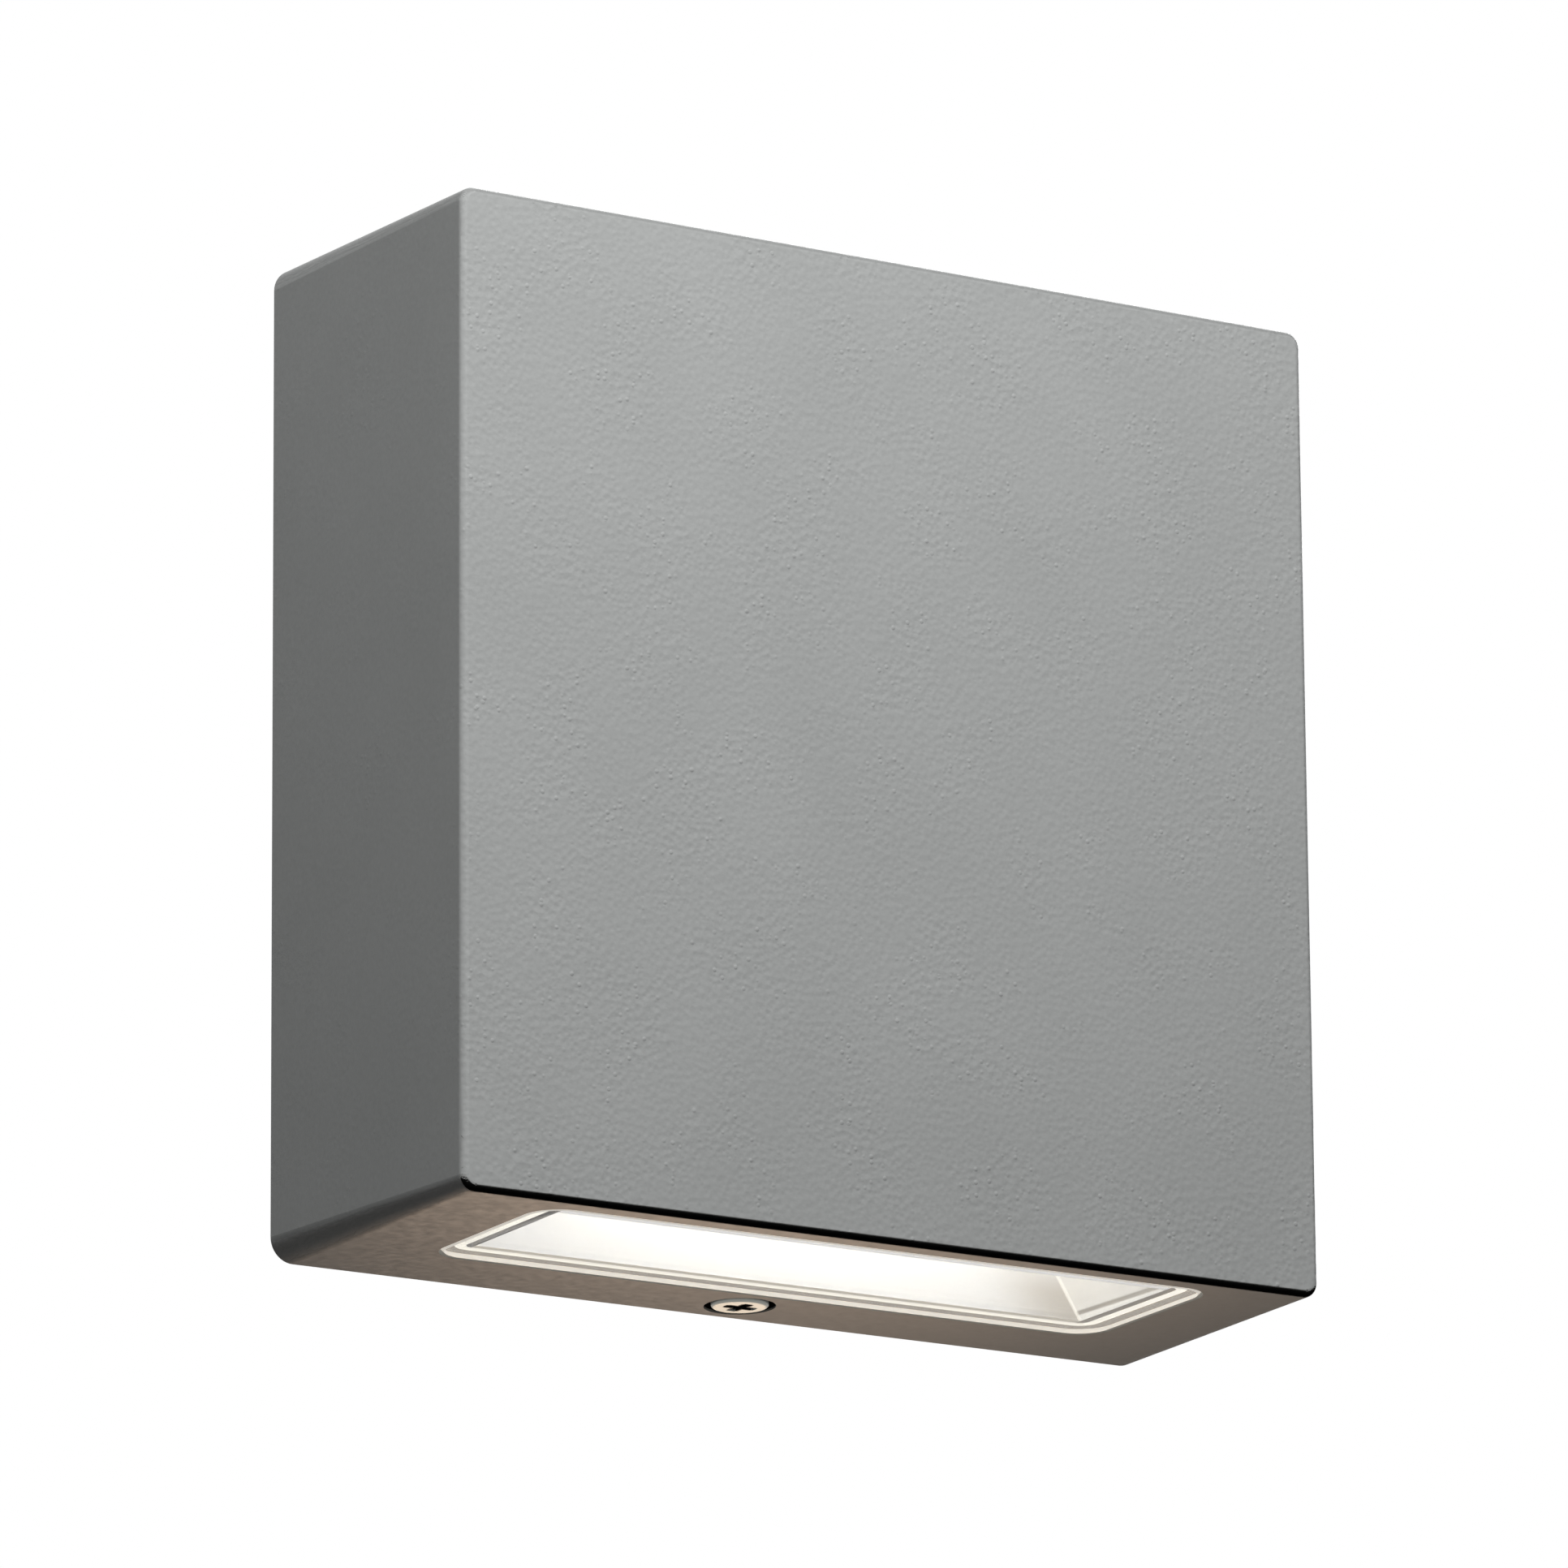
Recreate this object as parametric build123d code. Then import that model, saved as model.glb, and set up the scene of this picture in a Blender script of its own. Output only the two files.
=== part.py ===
from build123d import *
import math
import os

# Square wall light: a drafted die-cast box on a folded steel bracket, lit downwards through a
# flush glass window. Millimetres. X is to the right seen from the front, Y runs into the wall
# (wall face at 0, front face negative), Z is up. The origin is on the wall, at mid-height.

# Casting
case_width = 140.0
case_height = 140.0
case_depth = 48.0
side_draft = 2.4
end_draft = 1.0
rear_corner_radius = 4.5
front_corner_radius = 3.0
least_corner_radius = 0.5
front_edge_radius = 1.0
wall = 3.0
front_wall = 3.0
rear_gasket_width = 1.5
rear_gasket_thickness = 1.3

# Window in the bottom wall, measured along the outside of that wall
window_end_margin = 16.5
window_front_margin = 3.5
window_rear_margin = 13.0
window_corner_radius = 5.0
window_frame_margin = 2.5
ledge_thickness = 2.0
glass_thickness = 4.0
glass_gap = 0.15
glass_arris = 0.6
lens_gasket_inset = 2.0
lens_gasket_width = 1.5
lens_gasket_thickness = 1.0

# Reflector, a hipped tray whose end walls lean more than its long walls
flange_gap = 0.1
flange_hold = 0.7
throat_gap = 0.15
sheet = 0.5
reflector_height = 15.0
end_lean = 38.0
side_lean = 12.0

# LED board on the cast shelf
board_end_margin = 5.0
board_side_margin = 4.95
board_thickness = 1.6
board_screw_inset = 3.5
board_screw_side = 3.0
thermal_pad_thickness = 0.5
shelf_thickness = 3.0
shelf_overhang = 3.0
chip_length = 3.5
chip_width = 2.8
chip_height = 0.8
chip_columns = 7
chip_rows = 2
chip_end_margin = 5.5
chip_side_margin = 3.2
gusset_places = (-45.0, -8.0, 29.0)
gusset_thickness = 2.4
gusset_reach = 14.0
gusset_rise = 9.0

# Screws, by size; the rim is the straight part of the head under its rounded top
m4_radius = 2.0
m4_head_radius = 4.0
m4_head_height = 2.1
m4_rim_height = 1.6
m4_recess_width = 1.3
m3_radius = 1.5
m3_head_radius = 2.75
m3_head_height = 1.9
m3_rim_height = 1.0
recess_width = 0.9
recess_share = 0.62
fixing_gap = 0.05

# Retaining screw, in a counterbore between the window and the wall
screw_setback = 6.7
counterbore_radius = 5.0
head_recess = 0.3
washer_thickness = 0.8
washer_radius = 4.5
running_gap = 0.3
thread_length = 5.2
tip_gap = 0.1
screw_pad_width = 18.0
screw_pad_depth = 10.5
screw_pad_gap = 0.8

# Wall bracket, one folded sheet
bracket_sheet = 2.0
bracket_width = 100.0
bend_radius = 1.5
flange_span = 80.0
flange_depth = 14.0
tongue_span = 24.0
tongue_depth = 12.0
bend_relief = 0.8
plate_corner_radius = 4.0
tab_corner_radius = 2.5
slot_spacing = 60.0
slot_length = 12.0
slot_width = 5.0
cable_hole_height = 22.0
cable_bore_radius = 4.0
grommet_neck_radius = 7.0
grommet_flange_radius = 9.5
grommet_flange_thickness = 2.5
grommet_nose_length = 4.5
grommet_nose_radius = 5.6
bracket_earth_x = -30.0
bracket_earth_z = 30.0

# Parts on the inside of the front wall
ear_boss_height = 4.0
boss_radius = 4.2
boss_draft = 0.3
boss_hole_depth = 5.5
boss_hole_spare = 1.0
ear_width = 10.0
ear_thickness = 3.0
block_edge_radius = 0.8
driver_x = -2.0
driver_length = 84.0
driver_width = 40.0
driver_height = 21.0
driver_corner = 2.5
terminal_length = 34.0
terminal_width = 20.0
terminal_height = 17.0
terminal_corner = 1.0
pole_pitch = 10.0
pole_well_radius = 2.7
pole_well_offset = 5.5
pole_screw_radius = 2.3
pole_screw_height = 3.0
barrier_width = 1.2
barrier_depth = 4.0
clamp_pitch = 24.0
clamp_end_length = 4.5
clamp_width = 8.0
clamp_bar_thickness = 3.0
clamp_arch_radius = 4.5
clamp_arch_thickness = 2.5
clamp_boss_height = 6.0
earth_wall_gap = 17.1
lug_ring_radius = 4.0
lug_plate = 0.8
lug_barrel_start = 5.0
lug_barrel_length = 6.5
lug_barrel_wall = 0.7

# Wires
wire_radius = 1.1
wire_bend = 6.6
wire_insert = 3.0
wire_hole_gap = 0.4
wire_level = 11.0
wire_wall_gap = 5.0
wire_pitch = 3.6
wire_top_rise = 11.4
supply_entry_rise = 12.0
led_wire_pitch = 5.0
led_entry_drop = 12.0
led_drop_gap = 7.5
led_solder_inset = 2.0
led_loop_drop = 6.0
bush_wall = 1.6
bush_flange = 1.4
bush_flange_thickness = 1.2

# Heights of the casting
slope = math.tan(math.radians(end_draft))
front_floor_y = -(case_depth - front_wall)
wire_y = front_floor_y + wire_level


def bottom_z(y):
    """Height of the outside of the bottom wall at depth y."""
    return -case_height / 2 - y * slope


def inside_top_z(y):
    """Height of the inside of the top wall at depth y."""
    return case_height / 2 + y * slope - wall


def inside_half_width(y):
    """Distance from the middle to the inside of a side wall at depth y."""
    return case_width / 2 + y * math.tan(math.radians(side_draft)) - wall


# Light bay: its plane lies on the outside of the bottom wall, at the middle of the window
window_length = case_width - 2 * window_end_margin
window_width = case_depth - window_front_margin - window_rear_margin
window_y = -(case_depth - window_front_margin - window_width / 2)
bay = Plane(
    origin=(0, window_y, bottom_z(window_y)),
    x_dir=(1, 0, 0),
    z_dir=(0, math.sin(math.radians(end_draft)), math.cos(math.radians(end_draft))),
).location
ledge_height = glass_thickness + lens_gasket_thickness
frame_height = ledge_height + ledge_thickness
board_height = glass_thickness + reflector_height
shelf_height = board_height + board_thickness + thermal_pad_thickness
gasket_inset = glass_gap + lens_gasket_inset
flange_inset = gasket_inset + lens_gasket_width + flange_gap
throat_inset = flange_inset + flange_hold
mouth_inset = throat_inset + throat_gap + sheet
mouth_length = window_length - 2 * mouth_inset
mouth_width = window_width - 2 * mouth_inset
crown_length = mouth_length - 2 * reflector_height * math.tan(math.radians(end_lean))
crown_width = mouth_width - 2 * reflector_height * math.tan(math.radians(side_lean))
board_length = window_length - 2 * board_end_margin
board_width = window_width - 2 * board_side_margin
chip_pitch_x = (crown_length - chip_length - 2 * chip_end_margin) / (chip_columns - 1)
chip_pitch_y = (crown_width - chip_width - 2 * chip_side_margin) / (chip_rows - 1)

# Retaining screw heights, from the outside of the bottom wall upwards
screw_y = -screw_setback
rim_z = bottom_z(screw_y) + head_recess
seat_z = rim_z + m4_rim_height
counterbore_z = seat_z + washer_thickness
screw_pad_z = counterbore_z + thread_length
tongue_z = screw_pad_z + running_gap
retaining_length = tongue_z - tip_gap - seat_z

# Screw ears clear the foot of their bosses; clamping screws stand on the wires of the terminal block
ear_reach = boss_radius + boss_draft + running_gap
ear_length = ear_reach + ear_width / 2
boss_thread = boss_hole_depth - boss_hole_spare
pole_screw_level = wire_level + wire_radius + fixing_gap

# Layout on the front wall: the terminal block hangs below the wires under the top wall, and the driver
# and the cord clamp share the height that is left above the gussets
terminal_z = inside_top_z(wire_y) - wire_wall_gap - wire_top_rise - terminal_width / 2
gusset_top_z = bottom_z(front_floor_y) + shelf_height + shelf_thickness + gusset_rise
layout_room = terminal_z - terminal_width / 2 - gusset_top_z
layout_gap = (layout_room - driver_width - clamp_width) / 3
driver_z = gusset_top_z + layout_gap + driver_width / 2
clamp_z = driver_z + driver_width / 2 + layout_gap + clamp_width / 2
earth_x = inside_half_width(front_floor_y) - earth_wall_gap
earth_z = terminal_z

# Earth lug: its boss brings the lug's barrel to the level of the wires
lug_barrel_radius = wire_radius + fixing_gap + lug_barrel_wall
earth_boss_height = wire_level - lug_barrel_radius

# Routes of the LED leads
led_drop_x = board_length / 2 + led_drop_gap
led_wire_levels = (wire_y - led_wire_pitch / 2, wire_y + led_wire_pitch / 2)


def case_face(y, inset):
    """Rounded outline of the casting at depth y, moved inwards by inset."""
    out = -y
    width = case_width - 2 * (out * math.tan(math.radians(side_draft)) + inset)
    height = case_height - 2 * (out * slope + inset)
    corner = rear_corner_radius + (front_corner_radius - rear_corner_radius) * out / case_depth
    plane = Plane(origin=(0, y, 0), x_dir=(1, 0, 0), z_dir=(0, -1, 0))
    return (plane * RectangleRounded(width, height, max(corner - inset, least_corner_radius))).face()


def case_block(rear_y, front_y, inset):
    """Drafted block between two depths of the casting, inset from its outside."""
    return loft([case_face(rear_y, inset), case_face(front_y, inset)])


def window_face(inset):
    """Rounded outline of the window, moved inwards by inset."""
    corner = max(window_corner_radius - inset, least_corner_radius)
    return RectangleRounded(window_length - 2 * inset, window_width - 2 * inset, corner)


def bay_prism(inset, low, high):
    """Plate of the window's outline in the light bay, between two heights above the bottom wall."""
    return bay * Pos(0, 0, low) * extrude(window_face(inset), high - low)


def bay_hip(low_size, high_size, low, high):
    """Sharp-edged hipped block in the light bay."""
    faces = [Pos(0, 0, low) * Rectangle(*low_size), Pos(0, 0, high) * Rectangle(*high_size)]
    return bay * loft([section.face() for section in faces])


def on_front_wall(x, z):
    """Place on the inside of the front wall; its local Z points at the wall behind."""
    return Plane(origin=(x, front_floor_y, z), x_dir=(1, 0, 0), z_dir=(0, 1, 0)).location


def pan_screw(radius, length, head_radius, head_height, rim_height, cross_width):
    """Screw along Z: the head sits on Z = 0 with its rounded top and cross recess upwards."""
    dome = head_height - rim_height
    outline = Polyline(
        (0, head_height), (0, -length), (radius, -length), (radius, 0), (head_radius, 0),
        (head_radius, rim_height),
    )
    crown = TangentArc((head_radius, rim_height), (head_radius - dome, head_height), tangent=(0, 1))
    top = Line(crown @ 1, (0, head_height))
    screw = revolve(Plane.XZ * make_face([outline, crown, top]), Axis.Z)
    depth = head_height * recess_share
    for turn in (0, 90):
        bar = Box(2 * head_radius * recess_share, cross_width, 2 * depth)
        screw -= Pos(0, 0, head_height) * Rot(0, 0, turn) * bar
    return screw


def m4_screw(length):
    return pan_screw(m4_radius, length, m4_head_radius, m4_head_height, m4_rim_height, m4_recess_width)


def m3_screw(length):
    return pan_screw(m3_radius, length, m3_head_radius, m3_head_height, m3_rim_height, recess_width)


def front_boss(x, z, height, hole_radius):
    """Drafted screw boss on the inside of the front wall, with its hole."""
    root = front_wall / 2
    foot = boss_radius + boss_draft
    boss = Cone(foot, boss_radius, height + root, align=(Align.CENTER, Align.CENTER, Align.MIN))
    hole = Cylinder(hole_radius, boss_hole_depth, align=(Align.CENTER, Align.CENTER, Align.MAX))
    place = on_front_wall(x, z)
    return place * Pos(0, 0, -root) * boss, place * Pos(0, 0, height) * hole


def ear_places(x, length):
    """Middles of the two screw ears of a block."""
    reach = length / 2 + ear_reach
    return (x - reach, x + reach)


def board_screw_places():
    """Places of the two board screws in the light bay, behind the middle of the board."""
    reach = board_length / 2 - board_screw_inset
    return [Pos(-reach, board_screw_side, 0), Pos(reach, board_screw_side, 0)]


def clamp_screw_places():
    return (-clamp_pitch / 2, clamp_pitch / 2)


def boss_list():
    """Every boss on the front wall: place, height and hole radius."""
    m3_hole = m3_radius + fixing_gap
    bosses = [(x, driver_z, ear_boss_height, m3_hole) for x in ear_places(driver_x, driver_length)]
    bosses += [(x, terminal_z, ear_boss_height, m3_hole) for x in ear_places(0, terminal_length)]
    bosses += [(x, clamp_z, clamp_boss_height, m3_hole) for x in clamp_screw_places()]
    bosses.append((earth_x, earth_z, earth_boss_height, m4_radius + fixing_gap))
    return bosses


def bush_slot(extra, low, high):
    """Oblong prism through the shelf, round the two LED leads."""
    radius = wire_radius + bush_wall + extra
    middle = (low + high) / 2
    tilt = math.radians(end_draft)
    along = (wire_y - window_y - middle * math.sin(tilt)) / math.cos(tilt)
    outline = Rot(0, 0, 90) * SlotOverall(led_wire_pitch + 2 * radius, 2 * radius)
    return bay * Pos(led_drop_x, along, low) * extrude(outline, high - low)


def make_housing():
    """Die-cast box with its window frame, LED shelf, gussets, screw pad and bosses."""
    inside = case_block(0, front_floor_y, wall)
    core = case_block(0, front_floor_y - front_wall / 2, wall / 2)
    shell = case_block(0, -case_depth, 0)
    shell = fillet(shell.faces().sort_by(Axis.Y)[0].edges(), front_edge_radius)
    shell -= inside

    frame = bay_prism(-window_frame_margin, wall / 2, frame_height)
    shelf_align = (Align.CENTER, Align.MAX, Align.MIN)
    shelf_box = Box(case_width, case_depth, shelf_thickness, align=shelf_align)
    shelf = bay * Pos(0, board_width / 2 + shelf_overhang, shelf_height) * shelf_box
    pad_top = screw_pad_z - bottom_z(screw_y)
    pad_rise = pad_top - wall / 2
    pad_box = Box(screw_pad_width, screw_pad_depth, pad_rise, align=(Align.CENTER, Align.MAX, Align.MAX))
    pad = Pos(0, -rear_gasket_thickness - screw_pad_gap, screw_pad_z) * pad_box
    shell += (frame & core) + (shelf & core) + (pad & core)

    front_reach = front_floor_y - window_y
    rib_foot = shelf_height + shelf_thickness / 2
    rib_top = shelf_height + shelf_thickness
    for x in gusset_places:
        rib = Polygon(
            (front_reach - front_wall / 2, rib_foot), (front_reach + gusset_reach, rib_foot),
            (front_reach + gusset_reach, rib_top), (front_reach, rib_top + gusset_rise),
            (front_reach - front_wall / 2, rib_top + gusset_rise), align=None,
        )
        plate = extrude(Plane.YZ * rib, gusset_thickness / 2, both=True)
        shell += bay * Pos(x, 0, 0) * plate & core

    for x, z, height, radius in boss_list():
        boss, hole = front_boss(x, z, height, radius)
        shell += boss
        shell -= hole

    shell -= bay_prism(0, -wall, ledge_height)
    shell -= bay_prism(throat_inset, 0, frame_height + wall)
    bore = Cylinder(m3_radius + fixing_gap, 4 * shelf_thickness)
    for place in board_screw_places():
        shell -= bay * place * Pos(0, 0, shelf_height) * bore
    shell -= bush_slot(fixing_gap, shelf_height - shelf_thickness, shelf_height + 2 * shelf_thickness)

    shell -= Pos(0, screw_y, counterbore_z) * Cylinder(
        counterbore_radius, 2 * wall, align=(Align.CENTER, Align.CENTER, Align.MAX))
    shell -= Pos(0, screw_y, counterbore_z) * Cylinder(m4_radius + running_gap, 4 * thread_length)
    return shell - case_block(0, -rear_gasket_thickness, wall - rear_gasket_width)


def make_rear_gasket():
    """Foam ring in the step of the rear rim, flush with the wall face."""
    ring = case_block(0, -rear_gasket_thickness, wall - rear_gasket_width + fixing_gap)
    return ring - case_block(0, -rear_gasket_thickness, wall)


def make_glass_lens():
    """Clear window plate with a ground arris round its outer face."""
    plate = extrude(window_face(glass_gap), glass_thickness)
    return bay * chamfer(plate.faces().sort_by(Axis.Z)[0].edges(), glass_arris)


def make_lens_gasket():
    """Flat ring between the glass and the ledge."""
    ring = bay_prism(gasket_inset, glass_thickness, ledge_height)
    return ring - bay_prism(gasket_inset + lens_gasket_width, glass_thickness, ledge_height)


def make_reflector():
    """Hipped tray with mitred corners, and a flange held between the glass and the ledge."""
    mouth = (mouth_length, mouth_width)
    crown = (crown_length, crown_width)
    skin = [size + 2 * sheet for size in mouth]
    skin_crown = [size + 2 * sheet for size in crown]
    tray = bay_hip(skin, skin_crown, glass_thickness, board_height)
    tray += bay_prism(flange_inset, glass_thickness, ledge_height)
    return tray - bay_hip(mouth, crown, glass_thickness, board_height)


def board_plate(low, high):
    """Plate of the board's outline with its two screw holes."""
    plate = bay * Pos(0, 0, low) * extrude(Rectangle(board_length, board_width), high - low)
    hole = Cylinder(m3_radius + fixing_gap, 4 * (high - low))
    for place in board_screw_places():
        plate -= bay * place * Pos(0, 0, low) * hole
    return plate


def make_led_board():
    return board_plate(board_height, board_height + board_thickness)


def make_thermal_pad():
    return board_plate(board_height + board_thickness, shelf_height)


def make_led_chips():
    """Rows of emitters on the underside of the board."""
    chip = Box(chip_length, chip_width, chip_height, align=(Align.CENTER, Align.CENTER, Align.MAX))
    places = GridLocations(chip_pitch_x, chip_pitch_y, chip_columns, chip_rows)
    return Compound(children=[bay * Pos(0, 0, board_height) * place * chip for place in places])


def make_board_screws():
    """Two screws up through the board into the shelf."""
    length = board_thickness + thermal_pad_thickness + shelf_thickness
    upwards = Pos(0, 0, board_height) * Rot(180, 0, 0)
    return Compound(children=[bay * place * upwards * m3_screw(length) for place in board_screw_places()])


def eared_block(length, width, height, corner):
    """Block with rounded top edges and a rounded screw ear at each end."""
    block = extrude(RectangleRounded(length, width, corner), height)
    block = fillet(block.faces().sort_by(Axis.Z)[-1].edges(), block_edge_radius)
    ears = extrude(SlotOverall(length + 2 * ear_length, ear_width), ear_thickness)
    block += Pos(0, 0, ear_boss_height) * ears
    hole = Cylinder(m3_radius + fixing_gap, 4 * height)
    for x in ear_places(0, length):
        block -= Pos(x, 0, 0) * hole
    return block


def side_hole(place, direction):
    """Wire entry at a place on a block, cut inwards against the given direction."""
    way = Plane(origin=place, z_dir=direction).location
    return way * Cylinder(wire_radius + wire_hole_gap, 4 * wire_insert)


def supply_heights():
    """Heights where the live and neutral wires enter the driver."""
    live = driver_z + supply_entry_rise
    return live, live + wire_pitch


def make_driver_case():
    """Potted driver on the front wall, supply at its left end, LED leads at its right end."""
    case = on_front_wall(driver_x, driver_z) * eared_block(
        driver_length, driver_width, driver_height, driver_corner)
    left = driver_x - driver_length / 2
    right = driver_x + driver_length / 2
    for z in supply_heights():
        case -= side_hole((left, wire_y, z), (-1, 0, 0))
    for y in led_wire_levels:
        case -= side_hole((right, y, driver_z - led_entry_drop), (1, 0, 0))
    return case


def ear_screws(x, z, length):
    """Two screws through the ears of a block into their bosses."""
    shank = ear_thickness + boss_thread
    head_level = ear_boss_height + ear_thickness
    places = [on_front_wall(place, z) * Pos(0, 0, head_level) for place in ear_places(x, length)]
    return Compound(children=[place * m3_screw(shank) for place in places])


def pole_places():
    return (-pole_pitch, 0, pole_pitch)


def well_places():
    """Both clamping screws of every pole, in the plane of the front wall."""
    return [(x, y) for x in pole_places() for y in (-pole_well_offset, pole_well_offset)]


def make_terminal_block():
    """Three-pole block with screw wells, barriers between poles and wire entries on both sides."""
    block = eared_block(terminal_length, terminal_width, terminal_height, terminal_corner)
    well = Cylinder(pole_well_radius, terminal_height, align=(Align.CENTER, Align.CENTER, Align.MIN))
    for x, y in well_places():
        block -= Pos(x, y, pole_screw_level) * well
    for x in (-pole_pitch / 2, pole_pitch / 2):
        block -= Pos(x, 0, terminal_height) * Box(barrier_width, 2 * terminal_width, 2 * barrier_depth)
    block = on_front_wall(0, terminal_z) * block
    for x in pole_places():
        for side in (-1, 1):
            block -= side_hole((x, wire_y, terminal_z + side * terminal_width / 2), (0, 0, side))
    return block


def make_terminal_screws():
    """Slotted clamping screws at the bottom of their wells."""
    screw = Cylinder(pole_screw_radius, pole_screw_height, align=(Align.CENTER, Align.CENTER, Align.MIN))
    screw -= Pos(0, 0, pole_screw_height) * Box(4 * pole_screw_radius, recess_width, pole_screw_height)
    wall_place = on_front_wall(0, terminal_z)
    return Compound(children=[wall_place * Pos(x, y, pole_screw_level) * screw for x, y in well_places()])


def make_cord_clamp():
    """Bar with an arch over the supply cable, on two bosses."""
    outer = clamp_arch_radius + clamp_arch_thickness
    bar_length = clamp_pitch + 2 * clamp_end_length
    bar = Pos(0, clamp_bar_thickness / 2) * Rectangle(bar_length, clamp_bar_thickness)
    arch = Circle(outer) & Pos(0, outer) * Rectangle(2 * outer, 2 * outer)
    profile = bar + arch - Circle(clamp_arch_radius)
    clamp = extrude(Plane.XZ * profile, clamp_width / 2, both=True)
    hole = Cylinder(m3_radius + fixing_gap, 4 * clamp_bar_thickness)
    for x in clamp_screw_places():
        clamp -= Pos(x, 0, 0) * hole
    return on_front_wall(0, clamp_z) * Pos(0, 0, clamp_boss_height) * clamp


def make_clamp_screws():
    """Two screws through the ends of the clamp bar."""
    screw = m3_screw(clamp_bar_thickness + boss_thread)
    lift = Pos(0, 0, clamp_boss_height + clamp_bar_thickness)
    return Compound(children=[on_front_wall(x, clamp_z) * lift * screw for x in clamp_screw_places()])


def make_earth_lug():
    """Ring terminal with a crimped barrel that points up."""
    plate = extrude(Circle(lug_ring_radius), lug_plate)
    neck_align = (Align.CENTER, Align.MAX, Align.MIN)
    neck = Box(2 * lug_barrel_radius, lug_barrel_start, lug_plate, align=neck_align)
    plate += Pos(0, -lug_ring_radius / 2, 0) * neck
    barrel = Cylinder(lug_barrel_radius, lug_barrel_length, align=(Align.CENTER, Align.CENTER, Align.MIN))
    lug = plate + Pos(0, -lug_barrel_start, lug_barrel_radius) * Rot(90, 0, 0) * barrel
    lug -= Cylinder(m4_radius + fixing_gap, 4 * lug_plate)
    bore = Cylinder(wire_radius + fixing_gap, 4 * lug_barrel_length)
    lug -= Pos(0, -lug_barrel_start, lug_barrel_radius) * Rot(90, 0, 0) * bore
    return on_front_wall(earth_x, earth_z) * Pos(0, 0, earth_boss_height) * lug


def make_earth_screw():
    head_level = earth_boss_height + lug_plate
    screw = m4_screw(lug_plate + boss_thread)
    return on_front_wall(earth_x, earth_z) * Pos(0, 0, head_level) * screw


def wire(points, radii):
    """Round wire along straight runs joined by tangent arcs."""
    path = FilletPolyline(*points, radius=radii)
    section = Plane(origin=path @ 0, z_dir=path % 0) * Circle(wire_radius)
    return sweep(section, path)


def supply_wire(pole_x, lane, entry_z):
    """Wire from the top of a pole, round the left side, into the left end of the driver."""
    left = driver_x - driver_length / 2
    lane_x = wire_wall_gap + lane * wire_pitch - inside_half_width(wire_y)
    top_z = inside_top_z(wire_y) - wire_wall_gap - lane * wire_pitch
    start_z = terminal_z + terminal_width / 2 - wire_insert
    points = [
        (pole_x, wire_y, start_z), (pole_x, wire_y, top_z), (lane_x, wire_y, top_z),
        (lane_x, wire_y, entry_z), (left + wire_insert, wire_y, entry_z),
    ]
    return wire(points, [wire_bend, 2 * wire_bend - lane * wire_pitch, wire_bend])


def make_live_wire():
    return supply_wire(0, 0, supply_heights()[0])


def make_neutral_wire():
    return supply_wire(-pole_pitch, 1, supply_heights()[1])


def make_earth_wire():
    """Wire from the earth pole into the barrel of the earth lug."""
    start_z = terminal_z + terminal_width / 2 - wire_insert
    top_z = inside_top_z(wire_y) - wire_wall_gap
    end_z = earth_z + lug_barrel_start + lug_barrel_length - wire_insert
    points = [
        (pole_pitch, wire_y, start_z), (pole_pitch, wire_y, top_z), (earth_x, wire_y, top_z),
        (earth_x, wire_y, end_z),
    ]
    return wire(points, [wire_bend, wire_bend])


def led_wire(y):
    """Lead from the driver, down through the shelf and round, up to a pad on the LED board."""
    start_x = driver_x + driver_length / 2 - wire_insert
    start_z = driver_z - led_entry_drop
    pad_z = bottom_z(y) + (board_height - fixing_gap) / math.cos(math.radians(end_draft))
    loop_z = pad_z - led_loop_drop
    end_x = board_length / 2 - led_solder_inset
    loop_bend = (led_drop_x - end_x) / 2 - fixing_gap
    points = [
        (start_x, y, start_z), (led_drop_x, y, start_z), (led_drop_x, y, loop_z), (end_x, y, loop_z),
        (end_x, y, pad_z),
    ]
    return wire(points, [wire_bend, loop_bend, loop_bend])


def make_led_wire_positive():
    return led_wire(led_wire_levels[0])


def make_led_wire_negative():
    return led_wire(led_wire_levels[1])


def make_lead_bush():
    """Rubber bush in the shelf, with a flange on top and a bore for each LED lead."""
    shelf_top = shelf_height + shelf_thickness
    bush = bush_slot(0, shelf_height, shelf_top)
    bush += bush_slot(bush_flange, shelf_top, shelf_top + bush_flange_thickness)
    for y in led_wire_levels:
        bush -= Pos(led_drop_x, y, bottom_z(y)) * Cylinder(wire_radius + wire_hole_gap, case_height)
    return bush


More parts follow.
